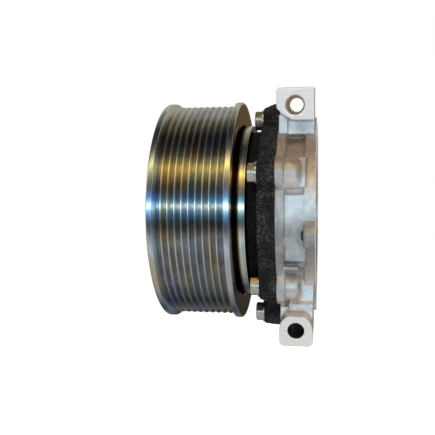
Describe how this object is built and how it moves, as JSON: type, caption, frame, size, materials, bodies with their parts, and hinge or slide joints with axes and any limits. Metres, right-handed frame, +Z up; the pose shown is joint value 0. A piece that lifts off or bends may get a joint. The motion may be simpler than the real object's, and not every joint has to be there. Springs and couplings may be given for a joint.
{
  "type": "electromagnetic clutch",
  "caption": "Pulley clutch with a grooved belt rim, friction web, hub and armature on leaf springs, coil behind the rim, black front head and a cast housing with mounting ears.",
  "frame": {"origin": "centre of the rear joint face, on the shaft axis, where the housing is bolted on", "axes": "+X along the shaft towards the rear, +Z up, ears on the -Y side"},
  "size_m": [0.0955, 0.125, 0.1374],
  "materials": {
    "plated_steel": "bright zinc plate over turned steel",
    "plated_steel_ring": "bright zinc plate over turned steel",
    "armature_steel": "ground steel",
    "hub_steel": "zinc plated",
    "black_casting": "granular black coated casting",
    "cast_aluminium": "satin as-cast",
    "plated_fastener": "zinc plated",
    "friction_material": "matt moulded",
    "bearing_steel": "ground",
    "cage_plastic": "moulded",
    "seal_rubber": "matt",
    "spring_steel": "oiled",
    "bobbin_plastic": "moulded",
    "copper_winding": "enamelled copper",
    "potting_resin": "cast resin",
    "felt": "pressed felt",
    "bronze": "satin",
    "shaft_steel": "ground",
    "rivet_steel": "zinc plated"
  },
  "bodies": {
    "mounting": {"front_head": "black_casting", "drive_end_housing": "cast_aluminium", "coil_housing": "plated_steel_ring", "coil_bobbin": "bobbin_plastic", "coil_winding": "copper_winding", "coil_potting": "potting_resin", "coil_retaining_ring": "spring_steel", "coil_locating_pin": "bearing_steel", "lead_grommet": "seal_rubber", "head_bolts": "plated_fastener", "head_washers": "plated_fastener", "head_o_ring": "seal_rubber", "locating_dowels": "bearing_steel", "bearing_inner_ring": "bearing_steel", "nose_retaining_ring": "spring_steel", "shaft_seal_case": "hub_steel", "shaft_seal_lip": "seal_rubber", "seal_retaining_ring": "spring_steel", "dust_felt": "felt", "needle_shell": "bearing_steel", "thrust_washer": "bronze"},
    "pulley": {"pulley_rotor": "plated_steel", "friction_lining": "friction_material", "bearing_outer_ring": "bearing_steel", "bearing_seals": "seal_rubber", "bearing_retaining_ring": "spring_steel"},
    "ball_set": {"bearing_balls": "bearing_steel", "bearing_cages": "cage_plastic"},
    "shaft": {"drive_shaft": "shaft_steel", "hub_key": "shaft_steel", "hub": "hub_steel", "air_gap_shims": "spring_steel", "hub_nut": "plated_fastener", "nut_washer": "plated_fastener", "hub_rivets": "rivet_steel", "leaf_springs": "spring_steel", "stop_pads": "seal_rubber"},
    "needle_set": {"needle_rollers": "bearing_steel", "needle_cage": "hub_steel"},
    "armature": {"armature_plate": "armature_steel", "armature_rivets": "rivet_steel"}
  },
  "joints": [
    {"name": "pulley_spin", "type": "hinge", "parent": "mounting", "child": "pulley", "pos_m": [-0.063, 0, 0], "axis": [1, 0, 0], "continuous": true},
    {"name": "ball_set_spin", "type": "hinge", "parent": "mounting", "child": "ball_set", "pos_m": [-0.06, 0, 0], "axis": [1, 0, 0], "continuous": true},
    {"name": "shaft_spin", "type": "hinge", "parent": "mounting", "child": "shaft", "pos_m": [-0.036, 0, 0], "axis": [1, 0, 0], "continuous": true},
    {"name": "needle_set_spin", "type": "hinge", "parent": "mounting", "child": "needle_set", "pos_m": [-0.036, 0, 0], "axis": [1, 0, 0], "continuous": true},
    {"name": "armature_pull_in", "type": "slide", "parent": "shaft", "child": "armature", "axis": [1, 0, 0], "range_m": [0, 0.0004], "stiffness_N_per_m": 60000, "springref_m": -0.0004, "deforming": ["leaf_springs"]}
  ],
  "couplings": [
    {"joint": "ball_set_spin", "follows": "pulley_spin", "ratio": 0.5623},
    {"joint": "needle_set_spin", "follows": "shaft_spin", "ratio": 0.442}
  ]
}
